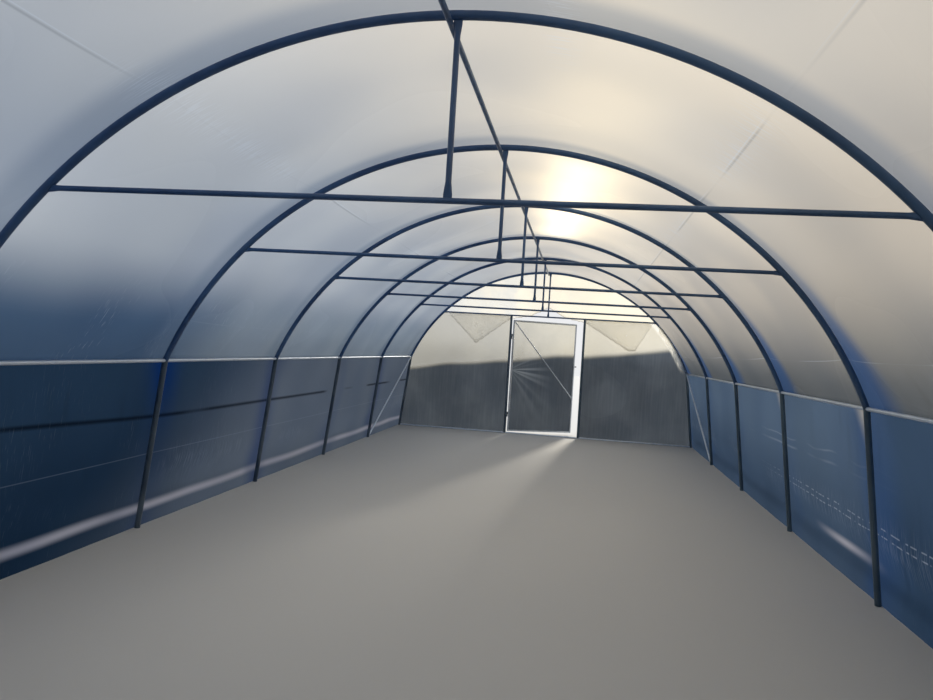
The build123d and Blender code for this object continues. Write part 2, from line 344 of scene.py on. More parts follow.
key_rise, key_side = math.radians(12.0), math.radians(9.0)
key_level = math.cos(key_rise)
key_direction = (-math.sin(key_side) * key_level, -math.cos(key_side) * key_level, -math.sin(key_rise))
key_spread = math.radians(9)
straight_down = (0.0, 0.0, -1.0)
narrow = {"shape": "RECTANGLE", "size": 0.28, "size_y": 3.9}
wide = {"shape": "RECTANGLE", "size": 0.40, "size_y": 6.0}
glow_place, glow_turn = (0.42, 1.1, 3.18), 0.09
halo_place, halo_turn = (0.66, -0.4, 3.50), 0.06
add_lamp("warm_key", "SUN", 4.6, (1.0, 0.92, 0.78), key_direction, angle=key_spread)
add_lamp("glow", "AREA", 11.0, (1.0, 0.90, 0.68), straight_down, glow_place, glow_turn, **narrow)
add_lamp("halo", "AREA", 8.5, (1.0, 0.84, 0.45), straight_down, halo_place, halo_turn, **wide)
print("lamps:", *[light.name for light in bpy.data.lights])

# %% [markdown]
# The tubes are thin, round and backlit. The arches, ties and king posts carry dark blue paint, the posts a
# greyer, rubbed coat, and the rails, the braces and the sill are bare galvanised steel. Each finish varies a
# little over its surface: mottled colour, streaks along the tube, worn specks, and a fine bump. The paint is
# also painted greyer and more teal towards the right, as painted light from the sun's side.


# %% Finishes of the tubes
def painted_tube(name, dark, light, roughness):
    """Painted steel tube: two close shades, worn lighter in small spots, with a fine orange peel, and painted
    greyer towards the right as painted light.
    """
    finish = Finish(name, Coat_Weight=0.15, Coat_Roughness=0.35, Specular_IOR_Level=0.5)
    cloud = finish.noise(2.3, 4.0).ramp(0.38, 0.66)
    speck = finish.noise(150.0, 2.0).ramp(0.68, 0.76)
    worn = finish.noise(7.0, 5.0, 0.65).ramp(0.62, 0.72)
    colour = finish.mix(cloud, dark, light)
    colour = finish.mix(worn * 0.2 + speck * 0.12, colour, ink(104, 116, 130))
    # Painted light: the paint turns greyer and more teal towards the right, where the sun stands.
    side = finish.split(finish.place())[0].ramp(-1.2, 2.2)
    colour = finish.mix(side * 0.4, colour, ink(76, 98, 108))
    finish.feed(
        Base_Color=colour,
        Roughness=finish.noise(18.0).ramp(0.3, 0.7, roughness - 0.08, roughness + 0.12),
        Normal=finish.bump(finish.noise(420.0, 2.0), 0.0004),
    )
    return finish.material


def galvanised_tube(name, dark, light, shine):
    """Bare zinc: pale and half dull, with crystal-like patches and drawn streaks along the tunnel."""
    finish = Finish(name, Metallic=shine, Specular_IOR_Level=0.5)
    where = finish.place(scale=(1, 0.5, 1))
    cell = finish.node("ShaderNodeTexVoronoi", None, {"Vector": where, "Scale": 70.0}, output="Color")
    patch = finish.split(cell)[0]
    streak = finish.noise(9.0, 3.0, where=finish.place(scale=(6, 0.35, 6)))
    stain = finish.noise(5.0, 5.0, 0.6).ramp(0.58, 0.72)
    colour = finish.mix(patch * 0.2 + streak * 0.8, dark, light)
    colour = finish.mix(stain * 0.12, colour, ink(132, 138, 144))
    finish.feed(
        Base_Color=colour,
        Roughness=streak.ramp(0.2, 0.8, 0.28, 0.42),
        Normal=finish.bump(streak, 0.0002),
    )
    return finish.material


arch_paint = painted_tube("arch_paint", ink(34, 70, 116), ink(54, 92, 138), 0.42)
post_paint = painted_tube("post_paint", ink(48, 68, 88), ink(80, 96, 110), 0.42)
zinc = galvanised_tube("zinc", ink(196, 208, 226), ink(228, 238, 250), 0.5)
leaf_zinc = galvanised_tube("leaf_zinc", ink(160, 168, 178), ink(208, 214, 220), 0.3)
fitting_steel = galvanised_tube("fitting_steel", ink(120, 122, 126), ink(168, 170, 174), 0.75)
print("steel:", arch_paint.name, post_paint.name, zinc.name, leaf_zinc.name, fitting_steel.name)

# %% [markdown]
# Each steel piece of the frame takes one of these finishes. The two gables are dressed alike.


# %% Dress the steel
def dress(material, *names):
    """Gives steel pieces of the frame their finish."""
    for name in names:
        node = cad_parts[name]
        node.data.materials.clear()
        node.data.materials.append(material)


dress(arch_paint, *hoop_names, "tie_bars", "king_posts", "ridge_purlin")
dress(post_paint, "side_posts_left", "side_posts_right")
dress(zinc, "hip_rail_left", "hip_rail_right", "corner_braces_left", "corner_braces_right")
for end in ("far", "near"):
    dress(post_paint, f"{end}_door_posts")
    dress(leaf_zinc, f"{end}_leaf_frame")
    dress(zinc, f"{end}_sill")
    dress(fitting_steel, f"{end}_post_hinges", f"{end}_leaf_hinges", f"{end}_latch")
print("painted hoops:", len(hoop_names))

# %% [markdown]
# The film is thin, milky polyethylene. Part of the light goes straight through it, part is spread through to
# the other side, and part is thrown back. So its shader mixes clear, translucent and a glossy plastic. A thin
# solid has two faces, and each takes a finish of its own: the outer one is whitish and dusty and lets some
# light straight in, and the inner one is painted with the light and shade that the film shows against the
# light, from the sun, the sky and the dark ground outside. On the roof and the walls the inner one has no
# clear part, because nothing is seen through them.

# %% How film takes light
film_relief = 0.4
film_depth = 0.010


def film_mix(finish, colour, through, cover=None):
    """Ends a finish, part translucent and part glossy plastic; with a cover, it is clear where that is 0."""
    spread = finish.node("ShaderNodeBsdfTranslucent", None, {"Color": colour})
    plastic = Wire(finish, finish.surface.outputs[0])
    body = finish.node("ShaderNodeMixShader", None, {0: through, 1: plastic, 2: spread})
    if cover:
        clear = finish.node("ShaderNodeBsdfTransparent")
        body = finish.node("ShaderNodeMixShader", None, {0: cover, 1: clear, 2: body})
    finish.end(body, "Material Output")


def outside_finish():
    """The film's outer side: whitish, denser low down, with clouds of dust and dry marks of rain."""
    finish = Finish("weathered_film", Specular_IOR_Level=0.8)
    rise = finish.split(finish.place())[2].ramp(1.1, 2.0)
    cloud = finish.noise(0.8, 1.0)
    runs = finish.noise(1.0, 1.0, where=finish.place(scale=(1.5, 16, 1.5)))
    dust = (cloud.ramp(0.4, 0.75) * 0.4 + runs.ramp(0.5, 0.8) * (1 - rise) * 0.6).lowest(1.0)
    colour = finish.mix(dust, ink(247, 248, 248), ink(212, 209, 200))
    finish.feed(
        Base_Color=colour,
        Roughness=dust.ramp(0.0, 1.0, 0.22, 0.45),
        Normal=finish.bump(cloud * film_relief, film_depth, 0.6),
    )
    film_mix(finish, colour, rise.ramp(0.0, 1.0, 0.36, 0.6), rise.ramp(0.0, 1.0, 0.8, 0.55))
    return finish.material


def film_finish(name, low, high, heights, covers=None, tints=None, through=0.88):
    """Translucent film: its colour changes from low to high between two heights, and tints add the rest."""
    finish = Finish(name, Specular_IOR_Level=0.9)
    across, along = finish.split(finish.place(source="UV"))[:2]
    x, y, height = finish.split(finish.place())
    cloud = finish.noise(0.7, 1.0)
    start, stop, lean = heights
    rise = (height + (cloud - 0.5) * 0.2 + x * lean).ramp(start, stop)
    colour = finish.mix(rise, low, high)
    cover = rise.ramp(0.0, 1.0, *covers) if covers else None
    if tints:
        colour, cover = tints(finish, (colour, cover), (x, y, height), (across, along, rise))
    shade = finish.mix(finish.noise(1.3, 0.0).ramp(0.3, 0.7), ink(240, 242, 246), ink(255, 255, 255))
    colour = finish.mix(1.0, colour, shade, "MULTIPLY")
    finish.feed(
        Base_Color=colour,
        Roughness=cloud.ramp(0.3, 0.7, 0.18, 0.30),
        Normal=finish.bump(cloud * film_relief, film_depth, 0.6),
    )
    film_mix(finish, colour, through, cover)
    return finish.material


weathered = outside_finish()
print("outer side of every film:", weathered.name)

# %% [markdown]
# The film was folded at the factory, and the folds stay as fine lines along the tunnel at even distances from
# the crown. The folds and the fine creases that cross them are drawn as painted highlights, with a painted
# shadow beside the roof's upper fold; the scratches are pale marks of wear. Its sheet coordinates, which are
# metres across and along the film, place those lines, the fine creases that cross them and the scratches.

# %% Folds, creases and scratches
roof_folds = (1.41, 2.87)
fold_width = 0.005
# How far below the rail the left wall's painted shadow line lies.
shadow_line_drop = 0.455
wall_fold = 0.73
wall_dashes = (0.78, 0.83)
scratch_turns = (0.35, 1.9)


def after_hoop(y):
    """How far a point lies beyond the last hoop, along the tunnel."""
    return ((y + half_length) * (1 / bay_length)).part() * bay_length


def sheet_noise(finish, scale, *stretch, turn=0.0):
    """Noise in the sheet's own coordinates, stretched across and along it."""
    where = finish.place(scale=(*stretch, 1), turn=(0, 0, turn), source="UV")
    return finish.noise(scale, 1.0, where=where)


def comb(finish, mask):
    """Fine creases across a fold, inside a mask and in patches; the films paint them pale, as painted
    highlights.
    """
    return sheet_noise(finish, 1.0, 6, 80).ramp(0.5, 0.62) * mask * finish.noise(0.9, 0.0).ramp(0.45, 0.62)


def scratches(finish, mask):
    """Short pale scratches in two directions, inside a mask."""
    marks = sum(sheet_noise(finish, 1.0, 7, 120, turn=turn).ramp(0.66, 0.76) for turn in scratch_turns)
    return (marks * mask * finish.noise(2.2, 0.0).ramp(0.38, 0.66)).lowest(1.0)


print("folds of the roof at", roof_folds, "from the crown, of the walls at", wall_fold, "from the rail")

# %% [markdown]
# The roof's colours are painted light and shade: whitish and warm where the sun stands, and cooler to the
# left. Low down it takes a painted dark blue shade of what stands outside, deepest just before each hoop.

# %% Roof film
# The painted shade just before each hoop, where the film faces away from the sun and only the sky lights it.
painted_sky_shade = ink(128, 146, 166)


def roof_tints(finish, body, place, sheet):
    """Painted light and shade: cooler on the left, dimmer on the right, bluer just before each hoop, and pale
    factory folds drawn as painted highlights.
    """
    colour, cover = body
    x, y, height = place
    across, along, rise = sheet
    # Painted light and shade: warm where the sun stands, cooler on the left, dimmer on the right.
    side = finish.mix(x.ramp(-1.9, 0.4), ink(214, 219, 223), ink(250, 241, 226))
    painted_dimming = finish.mix(x.ramp(0.9, 2.3), ink(255, 255, 255), ink(210, 208, 206))
    colour = finish.mix(1.0, finish.mix(1.0, colour, side, "MULTIPLY"), painted_dimming, "MULTIPLY")
    right = x.ramp(0.8, 2.0)
    # Painted shade low on the right, and painted light low on the far left.
    colour = finish.mix(height.ramp(1.35, 2.15, 0.9, 0.0) * right, colour, ink(120, 123, 124))
    far = y.ramp(-1.6, 0.4) * x.ramp(-2.2, -0.5, 1.0, 0.0)
    colour = finish.mix((1 - rise) * far * 0.6, colour, ink(212, 216, 214))

    # A painted shade band and wedge just before each hoop, where the film slopes away from the sun.
    before = bay_length - after_hoop(y)
    shade_band = before.ramp(0.16, 0.36, 0.4, 0.0)
    slope = (height - 1.55).size() * 0.35 + (finish.noise(1.6, 0.0) - 0.5) * 0.3
    shade_wedge = (before + slope).ramp(0.32, 0.70, 1.0, 0.0) * height.ramp(1.5, 2.4, 0.85, 0.0)
    colour = finish.mix(shade_band, colour, painted_sky_shade)
    colour = finish.mix(shade_wedge * x.ramp(0.6, 1.6), colour, ink(74, 106, 150))

    girth = across.size()
    upper_fold, lower_fold = roof_folds
    # The folds and crossing creases are painted highlights, beside the upper fold lies a painted shadow, and
    # the scratches are pale wear.
    patches = sheet_noise(finish, 0.8, 0.2, 1).ramp(0.42, 0.6, 0.1, 1.0)
    lower = girth.near(lower_fold, fold_width) * x.ramp(-1.0, 0.5, 0.25, 0.8)
    fold = (girth.near(upper_fold, fold_width) + lower) * patches
    shade = girth.near(upper_fold + 0.014, 0.011) * patches
    crease_highlights = comb(finish, girth.near(upper_fold, 0.2) + girth.near(0.45, 0.12))
    marks = scratches(finish, x.ramp(-2.2, -1.2, 1.0, 0.0) * (1 - rise))
    colour = finish.mix(shade * 0.3, colour, ink(110, 116, 120))
    light = fold * 0.4 + crease_highlights * 0.3 + marks * 0.4
    return finish.mix(light.lowest(1.0), colour, ink(236, 240, 244)), cover


# The low ink is a painted dark blue shade of what stands outside the film.
roof_inks = (ink(114, 140, 168), ink(252, 249, 246))
roof_finish = film_finish("milky_roof", *roof_inks, (1.34, 1.88, 0.1), tints=roof_tints)
print("inner side of the roof:", roof_finish.name)

# %% [markdown]
# The walls' dark blue is painted shade of the dark ground and the fence that stand behind them. On the left a
# painted shadow line runs along the wall and a painted highlight lies along the foot. On the right the wall
# is painted lighter, with dashes along a fold and wisps above them.

# %% Wall films
# The painted shade that lies beside the posts.
painted_blue_shade = ink(14, 66, 134)


def wall_shades(finish, colour, place, left, right):
    """The slow changes of the walls' colour, painted light and shade: lighter to the right and towards the
    far end, darker low on the right, and a painted deep blue shade beside the posts.
    """
    x, y, height = place
    colour = finish.mix(right, colour, ink(88, 111, 136))
    colour = finish.mix((y - height * 1.2).ramp(-2.4, 0.4) * left, colour, ink(138, 146, 156))
    colour = finish.mix(y.ramp(-1.6, -0.6) * right, colour, ink(118, 138, 160))
    colour = finish.mix(height.ramp(0.2, 1.1, 0.55, 0.0) * right, colour, ink(40, 66, 96))
    drift = (finish.noise(1.1, 0.0) - 0.5) * 0.7
    beside = ((y + drift + (half_length - 0.06)) * (math.pi / bay_length)).sine().size()
    blue = beside.ramp(0.0, 0.66, 0.95, 0.0) * finish.noise(0.6, 1.0).ramp(0.40, 0.58, 0.15, 1.0)
    blue = blue * y.ramp(-2.0, 2.5, 1.0, 0.35) * (1 - right * 0.5)
    return finish.mix(blue, colour, finish.mix(right * 0.7, painted_blue_shade, ink(70, 112, 170)))


def wall_painted_light(finish, colour, place, left, right):
    """Painted light that falls in: a painted highlight over the ground on the left, painted sheen patches and
    lit corners on the right.
    """
    x, y, height = place
    line = height + (finish.noise(0.8, 0.0) - 0.5) * 0.04
    # A painted highlight along the left wall's foot, where the film bends.
    glint = line.near(0.15, 0.05) * left * finish.noise(0.9, 0.0).ramp(0.3, 0.42, 0.55, 1.0)
    # Painted sheen: soft patches of reflected light low on the right wall.
    patch = line.near(0.24, 0.055) * y.near(-0.35, 0.8) + line.near(0.2, 0.05) * y.near(-3.9, 1.2) * 0.3
    light = glint * 0.9 + patch * right * 0.75
    colour = finish.mix(light.lowest(1.0), colour, ink(224, 218, 222))
    # Painted light on the film just beyond each post, below the rail, on the right.
    corner = (after_hoop(y) + (rail.z - height) * 0.7).ramp(0.12, 0.34, 0.95, 0.0) * right
    return finish.mix(corner, colour, ink(214, 206, 194))


def wall_tints(finish, body, place, sheet):
    """The walls' painted shades and light, a painted shadow line on the left, dashes and wisps on the right,
    and painted highlights on the folds.
    """
    colour, cover = body
    x, y, height = place
    right = x.ramp(-0.5, 0.5)
    left = 1 - right
    down = sheet[0].size() - roof_half
    colour = wall_shades(finish, colour, place, left, right)
    colour = wall_painted_light(finish, colour, place, left, right)

    # A painted shadow line along the left wall, broken in places.
    broken = left * sheet_noise(finish, 0.5, 0.3, 1).ramp(0.40, 0.48)
    shade_band = down.near(y.ramp(-3.2, -0.6, shadow_line_drop - 0.075, shadow_line_drop - 0.012), 0.026)
    colour = finish.mix(shade_band * broken * 0.75, colour, ink(8, 14, 26))

    dash = sheet_noise(finish, 14.0, 0.3, 1).ramp(0.47, 0.53) * right * y.ramp(0.0, 2.4, 1.0, 0.0)
    wave = (sheet_noise(finish, 1.6, 0.5, 1) - 0.5) * 0.12
    dashes = sum((down + wave * 0.3).near(line, 0.008) for line in wall_dashes) * dash
    wisps = (down + wave).near(0.41, 0.012) + (down + wave * 0.4).near(0.49, 0.016)
    wisps = wisps * y.near(0.6, 2.2) * right * sheet_noise(finish, 1.1, 0.5, 1).ramp(0.42, 0.56)
    # Painted highlights on fine creases and on the left wall's fold; the scratches are wear.
    crease_highlights = comb(finish, down.near(0.85, 0.22))
    marks = scratches(finish, left * 0.7 + right * 0.15)
    fold_highlight = down.near(wall_fold, 0.006) * left
    light = dashes * 0.6 + wisps * 0.4 + crease_highlights * 0.14 + marks * 0.16 + fold_highlight * 0.2
    return finish.mix(light.lowest(1.0), colour, ink(204, 212, 224)), cover


# Painted shade: the walls' dark blue stands for the dark ground and fence outside.
wall_inks = (ink(47, 70, 92), ink(60, 85, 110))
side_finish = film_finish("milky_wall", *wall_inks, (0.2, 1.2, 0.0), tints=wall_tints, through=0.985)
print("inner side of the walls:", side_finish.name)

# %% [markdown]
# The gable shows a pale upper part and a dark lower part, which leans a little; the dark part is painted
# shade of the ground and the fence outside. The doors' films show the same, and pale creases that fan out
# from the middle of the hinge side. The apron is painted warmer to the right and paler in its lobes, as
# painted sunlight, and its hem is dense.

# %% Gable, door and apron films
turned_edge = (arch_radius - 0.06, 0.06)
fan_height = 1.17
fan_tilt = 0.03


def gable_tints(finish, body, place, sheet):
    """Faint upright streaks, a painted shade cooler and darker on the left above the dark part, and a pale
    turned edge.
    """
    colour, cover = body
    x, y, height = place
    streak = finish.noise(2.0, 3.0, where=finish.place(scale=(16, 16, 0.8)))
    blot = finish.noise(1.4, 4.0).ramp(0.4, 0.65)
    colour = finish.mix(streak.ramp(0.35, 0.75, 0.0, 0.03) + blot * 0.04, colour, ink(190, 196, 204))
    # Painted light and shade: warm on the sun's side, cooler and darker on the left.
    side = finish.mix((x + blot * 0.5).ramp(-1.4, 0.9), ink(160, 162, 156), ink(255, 252, 240))
    colour = finish.mix(sheet[2], colour, finish.mix(1.0, colour, side, "MULTIPLY"))
    rise = height - arch_centre
    turned = (x * x + rise * rise).root().near(*turned_edge) * height.ramp(1.27, 1.50) * x.ramp(1.4, 1.7)
    return finish.mix(turned * streak.ramp(0.3, 0.7, 0.55, 0.95), colour, ink(236, 232, 220)), cover


def leaf_tints(finish, body, place, sheet):
    """The gable's tints, and pale creases that fan out from the middle of the hinge side."""
    colour, cover = gable_tints(finish, body, place, sheet)
    reach, up = sheet[0], sheet[1] - fan_height
    turn = up.angle(reach + fan_tilt)
    rays = ((turn * 17 + (turn * 9).sine() * 1.4).sine() * 0.6 + (turn * 31).sine() * 0.4).ramp(-0.5, 1.0)
    rays = rays * reach.ramp(0.02, 0.95, 1.0, 0.0) * turn.near(-0.15, 1.2)
    return finish.mix(rays * 0.3, colour, ink(186, 194, 202)), cover


def apron_tints(finish, body, place, sheet):
    """Painted warmer to the right as painted sunlight, in soft clouds, painted paler in the lobes, and denser
    along the hem, which its sheet coordinate measures.
    """
    colour, cover = body
    cloud = finish.noise(2.2, 3.0).ramp(0.35, 0.65)
    # Painted sunlight: warmer to the right, cooler to the left.
    side = finish.mix((place[0] + cloud * 0.9).ramp(-1.6, 1.2), ink(172, 176, 178), ink(240, 226, 190))
    lobe = place[2].ramp(2.08, 2.18)
    hem = sheet[1].ramp(0.0, 0.02, 0.95, 0.0)
    # Painted light: the lobes below the tie are painted paler.
    colour = finish.mix(lobe, ink(255, 250, 240), side)
    cover = (cover * lobe.ramp(0.0, 1.0, 0.7, 1.0)).highest(hem)
    return finish.mix(hem, colour, ink(150, 140, 122)), cover


# The low ink is painted shade of the ground and the fence outside.
gable_look = (ink(52, 62, 74), ink(180, 174, 156), (1.34, 1.47, -0.12), (0.97, 0.6))
gable_finish = film_finish("milky_gable", *gable_look, gable_tints)
leaf_finish = film_finish("milky_leaf", *gable_look, leaf_tints)
apron_ink = ink(214, 206, 186)
apron_finish = film_finish("milky_apron", apron_ink, apron_ink, (1.0, 2.0, 0.0), (0.5, 0.5), apron_tints)
edge_inks = (ink(216, 224, 234), ink(250, 246, 236))
edge_finish = film_finish("milky_edge", *edge_inks, (1.3, 1.9, 0.0), (0.45, 0.45))
for material in (gable_finish, leaf_finish, apron_finish, edge_finish):
    print("inner side:", material.name)

# %% [markdown]
# A sheet is a grid of points: one number runs along it and one across it, and the place of each
# point is a formula of the two. The grid goes into the mesh as whole arrays, and Solidify gives
# the sheet its thickness. The grid's own faces look out of the tunnel and take the outer finish.
# The faces that Solidify adds look into it and take the next material, the inner finish.

# %% Sheets from grids
film_thickness = 0.0012
print("film", film_thickness * 1000, "mm thick")


def grid_piece(name, points, inner, spans, body, node=None, outer=weathered):
    """A sheet through a grid of points (rows, columns, 3), solidified; spans are its UV in metres."""
    rows, columns = points.shape[:2]
    index = np.arange(rows * columns).reshape(rows, columns)
    faces = np.stack([index[:-1, :-1], index[:-1, 1:], index[1:, 1:], index[1:, :-1]], axis=-1).reshape(-1, 4)
    mesh = bpy.data.meshes.new(name)
    mesh.vertices.add(rows * columns)
    mesh.vertices.foreach_set("co", points.reshape(-1).astype(np.float32))
    mesh.loops.add(faces.size)
    mesh.loops.foreach_set("vertex_index", faces.reshape(-1).astype(np.int32))
    mesh.polygons.add(len(faces))
    mesh.polygons.foreach_set("loop_start", np.arange(0, faces.size, 4, dtype=np.int32))
    mesh.polygons.foreach_set("loop_total", np.full(len(faces), 4, np.int32))
    mesh.polygons.foreach_set("use_smooth", np.ones(len(faces), bool))
    mesh.update(calc_edges=True)
    layer = mesh.uv_layers.new(name="sheet")
    layer.data.foreach_set("uv", spans.reshape(-1, 2)[faces.reshape(-1)].reshape(-1).astype(np.float32))
    mesh.materials.append(outer)
    mesh.materials.append(inner)
    piece = bpy.data.objects.new(name, mesh)
    bpy.context.scene.collection.objects.link(piece)
    solid = piece.modifiers.new("thickness", "SOLIDIFY")
    solid.thickness = film_thickness
    solid.offset = 0.0
    solid.material_offset = 1
    solid.material_offset_rim = 1
    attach(piece, body)
    if node:
        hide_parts(node)
    print(name, rows, "x", columns, "points")
    return piece


# %% [markdown]
# Cut across, the film is an arc over the hoops and a straight line down each leaning wall. A
# point of it is found from its distance from the crown, measured along the film. Between two
# hoops nothing holds it out, so it draws in on a cosh curve: steep beside each hoop and flat in
# mid-bay. The purlin stops it at the crown and the rail at the eaves.

# %% The film's section and slack
slack_reach = 0.30
roof_slack = 0.055
crown_slack = 0.030
wall_slack = 0.006
print("half girth of the roof", round(roof_half, 3), "wall", round(wall_length, 3))


def bell(value, width):
    """A smooth hump of height one at zero, about as wide as width on each side."""
    return np.exp(-((value / width) ** 2))


def smooth(value, low, high):
    """Goes from 0 to 1 as the value goes from low to high, which may be the lesser, with level ends."""
    share = np.clip((value - low) / (high - low), 0, 1)
    return share * share * (3 - 2 * share)


def profile(girth):
    """Places and outward normals of the film's section, as x and z, at distances from the crown."""
    distance = np.abs(girth)
    angle = np.minimum(distance, roof_half) / roof_radius
    down = np.maximum(distance - roof_half, 0)[..., None]
    arc = np.stack([np.sin(angle), np.cos(angle)], axis=-1)
    place = np.where(down > 0, wall_start + wall_down * down, arc * roof_radius + np.array([0, arch_centre]))
    normal = np.where(down > 0, wall_normal, arc)
    side = np.stack([np.where(girth < 0, -1, 1), np.ones_like(girth)], axis=-1)
    return place * side, normal * side


def bay_dip(station):
    """Nothing at a hoop and one in mid-bay: one minus a cosh, as a skin lies between two hoops."""
    from_middle = (station + half_length) % bay_length - bay_length / 2
    edge = math.cosh(bay_length / 2 / slack_reach)
    dip = (edge - np.cosh(from_middle / slack_reach)) / (edge - 1)
    return np.where(np.abs(station) < half_length, dip, 0)


def slack(girth):
    """How far the film lies in at mid-bay, at a distance from the crown."""
    distance = np.abs(girth)
    roof_part = crown_slack + (roof_slack - crown_slack) * smooth(distance, 0.15, 1.1)
    free = np.where(distance < roof_half, roof_part, wall_slack)
    on_rail = bell(distance - roof_half, 0.22)
    return free * (1 - on_rail) + (hoop_radius - light_radius) * on_rail


def pucker(girth, station):
    """Small folds that fan out from each hoop's foot at the rail, and die away within a hand or two."""
    up = np.abs(girth) - roof_half
    gap = (station + half_length + bay_length / 2) % bay_length - bay_length / 2
    distance = np.hypot(up, gap)
    fan = np.cos(13 * np.arctan2(up, gap) + 3 * np.sin(station * 1.7))
    waves = np.sin(station * 47.0 + 2.0 * np.sin(station * 5.0)) * bell(up + 0.06, 0.05)
    return 0.0022 * fan * smooth(distance, 0.02, 0.07) * np.exp(-distance / 0.13) + 0.0011 * waves


foot_bulge = 0.034


def foot_fold(girth, station):
    """The wall's foot: it bulges out below knee height, turns back in and stands rippled on the ground."""
    bend = 0.012 * np.sin(station * 1.3 + np.sign(girth)) + 0.006 * np.sin(station * 3.1)
    up = roof_half + wall_length - np.abs(girth) + bend
    inside = smooth(np.abs(station), half_length - 0.05, half_length - 0.7)
    out = foot_bulge * smooth(up, 0.50, 0.225) * smooth(up, 0.11, 0.215) * inside
    wave = np.sin(station * 11.3 + 2 * np.sin(station * 2.1)) + 0.6 * np.sin(station * 31.9 + 1.0)
    return out + 0.0022 * (1 + 0.6 * wave) * smooth(up, 0.16, 0.06)


def film_points(girths, stations):
    """The film's points and sheet coordinates for every pair of a girth and a station."""
    girth, station = np.meshgrid(girths, stations, indexing="ij")
    place, normal = profile(girth)
    push = pucker(girth, station) + foot_fold(girth, station) - slack(girth) * bay_dip(station)
    place = place + normal * push[..., None]
    height = np.maximum(place[..., 1], film_thickness / 2)
    return np.stack([place[..., 0], station, height], axis=-1), np.stack([girth, station], axis=-1)


# %% [markdown]
# The lines of the grid that run round the tunnel lie close together beside each hoop, where the
# film bends most, and further apart in mid-bay.

# %% Roof and walls of film
bay_cells = 30
roof_cells = 148
wall_cells = 56


def film_stations():
    """Stations along the tunnel: an even count a bay, drawn together beside the hoops by a sine."""
    share = np.arange(bay_cells) / bay_cells
    step = bay_length * (share - 0.1 * np.sin(2 * np.pi * share))
    lines = (hoop_stations[:-1, None] + step).ravel()
    beyond = half_length + 0.01
    return np.concatenate([[-film_end, -beyond], lines, [half_length, beyond, film_end]])


stations = film_stations()
points, spans = film_points(np.linspace(roof_half, -roof_half, roof_cells + 1), stations)
roof = grid_piece("roof_sheet", points, roof_finish, spans, "tunnel", "roof_film")
2 * roof_half

for side, name in ((1, "right"), (-1, "left")):
    girths = side * np.linspace(roof_half, roof_half + wall_length, wall_cells + 1)[::-side]
    points, spans = film_points(girths, stations)
    node = f"side_film_{name}"
    wall = grid_piece(f"wall_sheet_{name}", points, side_finish, spans, "tunnel", node)

# %% [markdown]
# Each gable is closed by a flat film on both sides of the doorway, from the ground up to the tie,
# fixed at the door post, the gable's post and hoop, and the tie. Between these it bellies a
# little, and upright tension folds run through it. The near gable repeats the far one, turned by
# half a circle.

# %% Gable films
gable_plane = middle("far_gable_film_right").y
gable_cells = (44, 56)
gable_share = 0.94


def gable_edge(height):
    """How far from the middle the gable reaches at a height: along the wall, then round the arch."""
    wall = rail.x + (rail.z - height) * math.tan(wall_lean) + hoop_radius / math.cos(wall_lean)
    arch = np.sqrt((arch_radius + hoop_radius) ** 2 - np.maximum(height - arch_centre, 0) ** 2)
    return np.where(height < wall_start[1], wall, arch)


def gable_panel(side, end):
    """One film panel: its width is stretched between the door post and the gable's edge at each height."""
    share = np.linspace(0, 1, gable_cells[0] + 1)[None, :]
    height = np.linspace(film_thickness, tie_height, gable_cells[1] + 1)[:, None]
    x = door_post + (gable_edge(height) - door_post) * share
    height = height + 0 * x
    belly = 4 * share * (1 - share) * np.sin(np.pi * height / tie_height) ** 0.7
    upright = np.sin(x * 31 + 2.3 * np.sin(x * 5 + side) + 0.9 * np.sin(height * 1.9 + end))
    slant = np.sin((x * 3 - height * 5) * 2.1 + side * 2) * smooth(height, 0.1, 1.2)
    y = gable_plane + belly * (0.006 + 0.0016 * upright + 0.0012 * slant * end)
    points = np.stack([side * x, y, height], axis=-1)
    points = points[:, ::-1] if side > 0 else points
    return points * np.array([end, end, 1]), points[..., [0, 2]]


for end_name, end in (("far", 1), ("near", -1)):
    for side_name in ("left", "right"):
        node = f"{end_name}_gable_film_{side_name}"
        points, spans = gable_panel(round(math.copysign(1, middle(node).x)) * end, end)
        name = f"{end_name}_gable_sheet_{side_name}"
        panel = grid_piece(name, points, gable_finish, spans, "tunnel", node)
        low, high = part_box(node)
        size = (high.x - low.x, high.z - low.z)
        area = gable_share * size[0] * size[1]

# %% [markdown]
# The roof film is longer than the tunnel. Its loose end is folded down over each gable and hangs
# there with a ragged lower edge: two lobes, and an open triangle over the door. The edge's line
# is read from the frame, the sheet is stretched between it and the arch, and it hangs in small
# folds that fan out from the arch and curl outwards at the edge.

# %% Aprons
apron_cells = (150, 20)
apron_share = 0.56
apron_corners = corners_of("far_gable_apron")
apron_plane = middle("far_gable_apron").y
outside = np.hypot(apron_corners[:, 0], apron_corners[:, 2] - arch_centre)
apron_end = np.abs(apron_corners[:, 0]).max()
apron_top = outside.max()
on_edge = (outside < apron_top - 0.001) | (np.abs(apron_corners[:, 0]) > apron_end - 0.001)
edge_corners = apron_corners[on_edge]
edge_corners = edge_corners[np.argsort(edge_corners[:, 0])]


